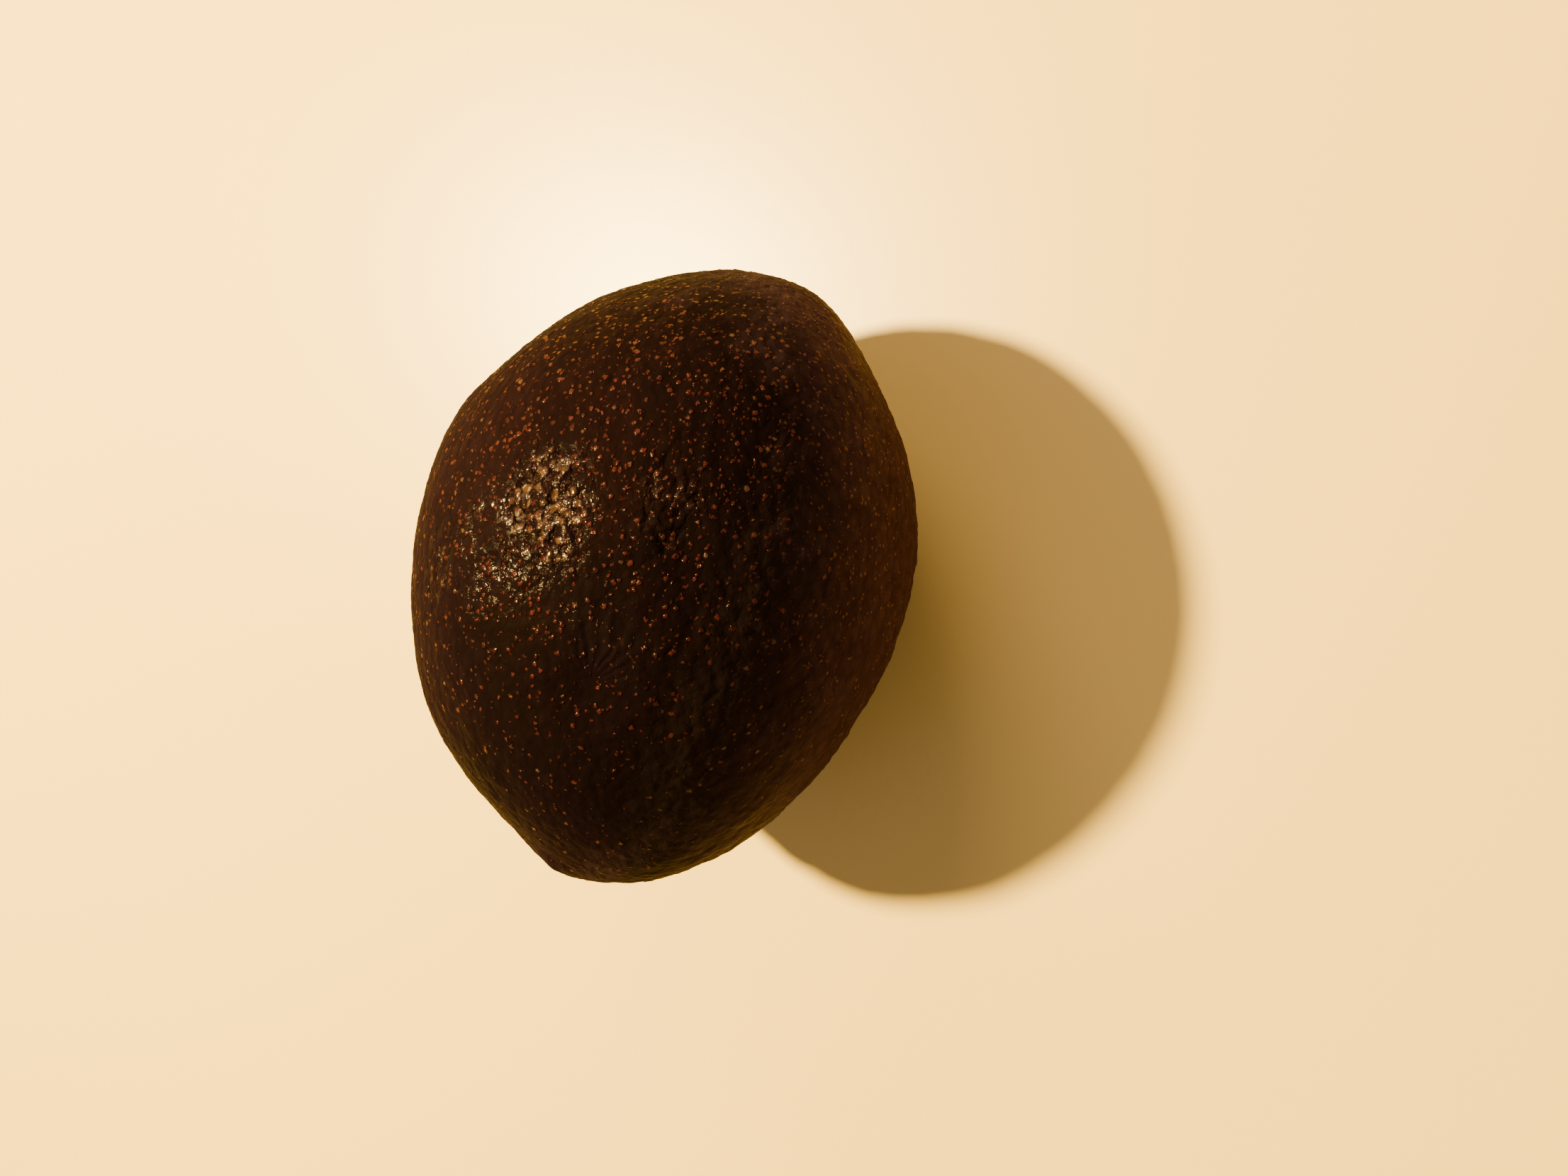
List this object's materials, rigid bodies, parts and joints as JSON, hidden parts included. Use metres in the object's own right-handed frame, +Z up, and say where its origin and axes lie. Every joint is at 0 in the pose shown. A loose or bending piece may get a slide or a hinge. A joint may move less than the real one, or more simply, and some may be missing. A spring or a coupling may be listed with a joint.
{
  "type": "avocado",
  "caption": "Whole ripe avocado lying on its side: an uneven egg with dark, pebbled, freckled skin and a corky stem scar in a shallow hollow.",
  "frame": {"origin": "on the surface that the fruit rests on, under the middle of its bounding box", "axes": "+X along the fruit's length from the stem end to the broad blossom end, +Y across it, +Z up"},
  "size_m": [0.089, 0.0686, 0.0683],
  "materials": {
    "avocado_skin": "waxy satin, near-black brown with a purple cast and small orange-brown freckles"
  },
  "bodies": {
    "root": {"avocado": "avocado_skin"}
  },
  "joints": []
}
